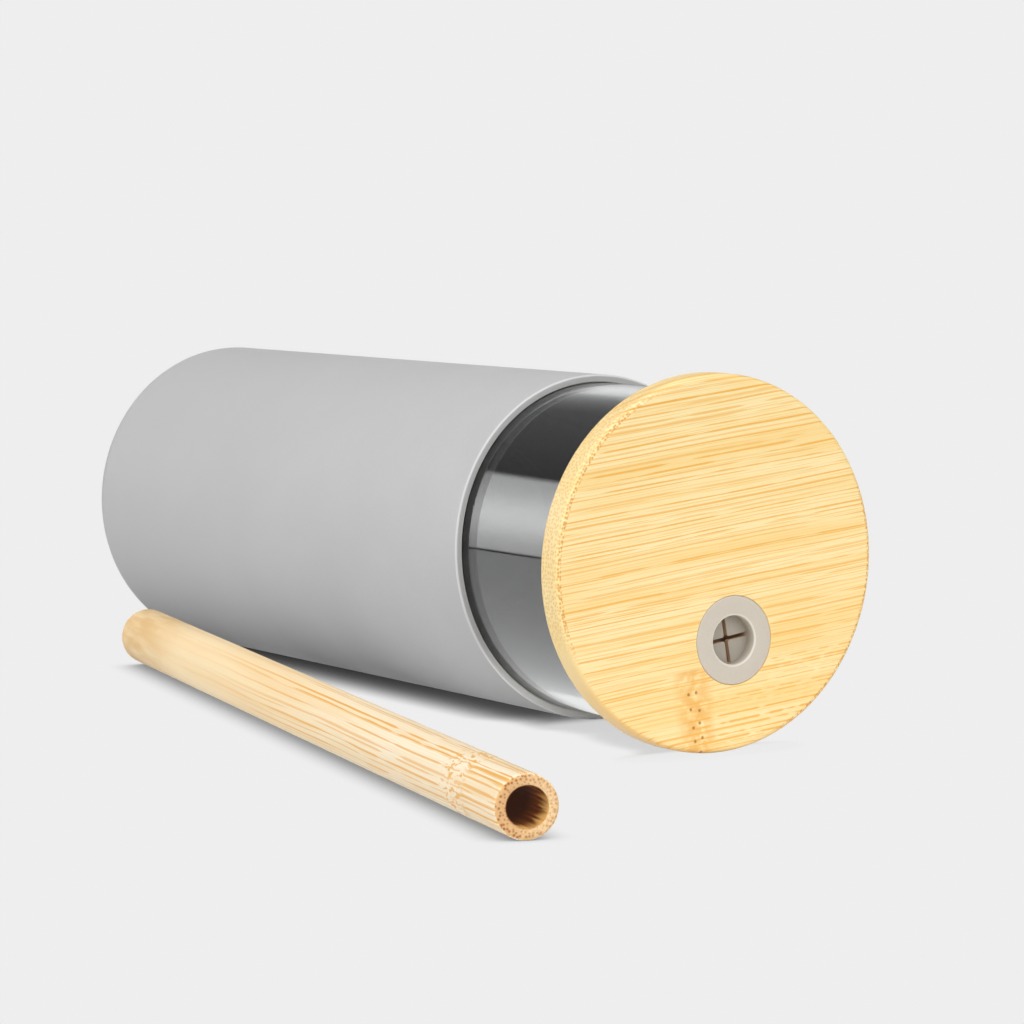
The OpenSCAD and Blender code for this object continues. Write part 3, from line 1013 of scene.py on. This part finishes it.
# The tumbler's contact shadow narrows, widens again and fades between these places along X,
# towards the lid, on its side of this band along Y
SHADOW_NARROWS = (-0.001, 0.014)
SHADOW_WIDENS = (0.05, 0.025)
SHADOW_FADE = (0.008, 0.022)
SHADOW_FADE_SHARE = 0.74
SHADOW_SIDE = (-0.03, -0.01)
# Openness of a spot at which its shadow ends, and how much less that is where it narrows
SHADOW_END = 0.95
SHADOW_NARROWING = -0.4
# The lid's own shadow is all but gone between these places along X
LID_SHADOW_FADE = (0.054, 0.066)
LID_SHADOW_FADE_SHARE = 0.96
# The paper is painted dim for bounced light near the sleeve, between these places
BOUNCE_FADE_Y = (-0.03, 0.0)
BOUNCE_FADE_X = (0.015, -0.03)
# The floor close below the tumbler is painted dark as shade, from the first of these places along
# Y
UNDER_TUMBLER = (0.006, 0.0)
# Reflections show the paper lighter than plain view does, by this share
MIRRORED_LIFT = 0.15


def floor_material():
    """Paper that is plain in plain view and in the glass, but for the contact shadow."""
    s = Shader("floor_paper")
    reach = {"Distance": CONTACT_REACH}
    clear = s.add("AmbientOcclusion", reach, samples=CONTACT_SAMPLES).outputs["AO"]
    x, y, _ = s.split(s.add("TexCoord").outputs["Object"])
    rays = s.add("LightPath").outputs

    lit = s.either(s.step(clear, 0.0, 0.6), s.step(y, *UNDER_TUMBLER))
    dim = s.both(rays["Is Diffuse Ray"], s.step(y, *BOUNCE_FADE_Y), s.step(x, *BOUNCE_FADE_X))
    paper = s.mix(dim, s.mix(lit, PAINTED_SHADE_PAPER, PALE), DIM_PAPER)
    s.set(Base_Color=paper, Roughness=1.0, Specular_IOR_Level=0.0)

    mirrored = s.either(rays["Is Glossy Ray"], rays["Is Transmission Ray"])
    seen = s.either(rays["Is Camera Ray"], mirrored)
    fade = s.either(
        s.step(x, *LID_SHADOW_FADE, 0.0, LID_SHADOW_FADE_SHARE),
        s.step(x, *SHADOW_FADE, 0.0, SHADOW_FADE_SHARE),
    )
    beside = s.step(y, *SHADOW_SIDE)
    narrow = s.both(beside, s.step(x, *SHADOW_NARROWS), s.step(x, *SHADOW_WIDENS))
    shadow_end = s.math("MULTIPLY_ADD", narrow, SHADOW_NARROWING, SHADOW_END)
    share = s.either(s.step(clear, -0.1, shadow_end), s.both(fade, beside), mirrored)
    weight = s.math("MULTIPLY_ADD", share, 0.5, 0.5)
    level = s.math("DIVIDE", share, weight)
    level = s.math("MULTIPLY_ADD", rays["Is Glossy Ray"], MIRRORED_LIFT, level)
    plain = s.add("Emission", {"Color": PALE, "Strength": level}).outputs[0]
    inputs = {0: s.both(seen, weight), 1: s.surface.outputs[0], 2: plain}
    mixed = s.add("MixShader", inputs).outputs[0]
    s.put(s.tree.nodes["Material Output"].inputs["Surface"], mixed)
    return s.material


def make_floor():
    """Round pale floor."""
    rim = [(FLOOR_R * math.cos(t), FLOOR_R * math.sin(t), 0) for t in turns_of(FLOOR_COUNT)]
    mesh = bpy.data.meshes.new("floor")
    mesh.from_pydata(rim, [], [ring_of(FLOOR_COUNT, 0)])
    mesh.materials.append(floor_material())
    floor = bpy.data.objects.new("floor", mesh)
    bpy.context.scene.collection.objects.link(floor)


# Soft boxes round the object: middle and half width of the bearing, lowest and highest elevation
# and softness of the upper edge, all in degrees, and strength
SoftBox = namedtuple("SoftBox", "bearing half_width low high fade strength")
SOFT_BOXES = (
    SoftBox(-154.5, 10.0, -2.45, 23.2, 1.0, 2.9),
    SoftBox(-165.0, 42.0, 8.0, 76.0, 5.0, 0.21),
    SoftBox(-60.0, 55.0, 3.0, 52.0, 4.0, 1.8),
    SoftBox(0.0, 35.0, 4.0, 60.0, 4.0, 2.1),
    SoftBox(125.0, 55.0, -2.0, 24.0, 16.0, 0.85),
)
BOX_EDGE = 0.6
# Share of a soft box's strength at its upper and lower edges and at its middle height
BOX_EDGE_SHARE = 0.62
BOX_MIDDLE_SHARE = 1.1
# The light from overhead grows between these elevations, from the dim level to its strength
OVERHEAD_GROWS = (52.0, 68.0)
OVERHEAD_STRENGTH = 1.65
DIM_LEVEL = 0.04


def soft_box(s, bearing, height, box):
    """Light of one soft box, brighter towards its middle height."""
    off = s.math("SUBTRACT", bearing, box.bearing)
    turn = s.size(s.math("WRAP", off, 180.0, -180.0))
    sides = s.step(turn, box.half_width + BOX_EDGE, box.half_width - BOX_EDGE)
    rise = s.step(height, box.low - BOX_EDGE, box.low + BOX_EDGE)
    fall = s.step(height, box.high + box.fade, box.high - box.fade)
    off_middle = s.size(s.math("SUBTRACT", height, (box.low + box.high) / 2))
    edge, middle = box.strength * BOX_EDGE_SHARE, box.strength * BOX_MIDDLE_SHARE
    glow = s.step(off_middle, (box.high - box.low) / 2, 0.0, edge, middle)
    return s.both(sides, glow, rise, fall)


def make_world():
    """Soft boxes all round, and plain pale paper in plain view and straight through the glass."""
    world = bpy.data.worlds.new("studio")
    bpy.context.scene.world = world
    world.use_nodes = True
    s = Nodes(world.node_tree)
    x, y, z = s.split(s.add("TexCoord").outputs["Generated"])
    bearing = s.math("DEGREES", s.math("ARCTAN2", y, x))
    height = s.math("DEGREES", s.math("ARCSINE", z))
    light = s.step(height, *OVERHEAD_GROWS, DIM_LEVEL, OVERHEAD_STRENGTH)
    light = s.either(light, *(soft_box(s, bearing, height, box) for box in SOFT_BOXES))
    rays = s.add("LightPath").outputs
    bounces = s.math("ADD", rays["Diffuse Depth"], rays["Glossy Depth"])
    straight = s.both(rays["Is Transmission Ray"], s.math("LESS_THAN", bounces, 0.5))
    seen = s.either(rays["Is Camera Ray"], straight)
    background = s.tree.nodes["Background"]
    s.put(background.inputs["Color"], s.mix(seen, s.join(light, light, light), PALE))
    s.put(background.inputs["Strength"], 1.0)


def make_scene():
    finish_piece(make_glass(), glass_material(), "glass", "glass_tumbler")
    finish_piece(make_sleeve(), sleeve_material(), "sleeve", "silicone_sleeve")
    finish_piece(make_lid(), lid_material(), "lid", "bamboo_lid")
    finish_piece(make_seal(), seal_material(), "lid", "lid_seal")
    finish_piece(make_grommet(), grommet_material(), "lid", "straw_grommet")
    straw = finish_piece(make_straw(), straw_material(), "straw", "bamboo_straw")
    straw.visible_diffuse = straw.visible_glossy = straw.visible_transmission = False
    make_floor()
    make_world()
    make_camera()
    bpy.context.scene.view_settings.view_transform = "Standard"


make_scene()
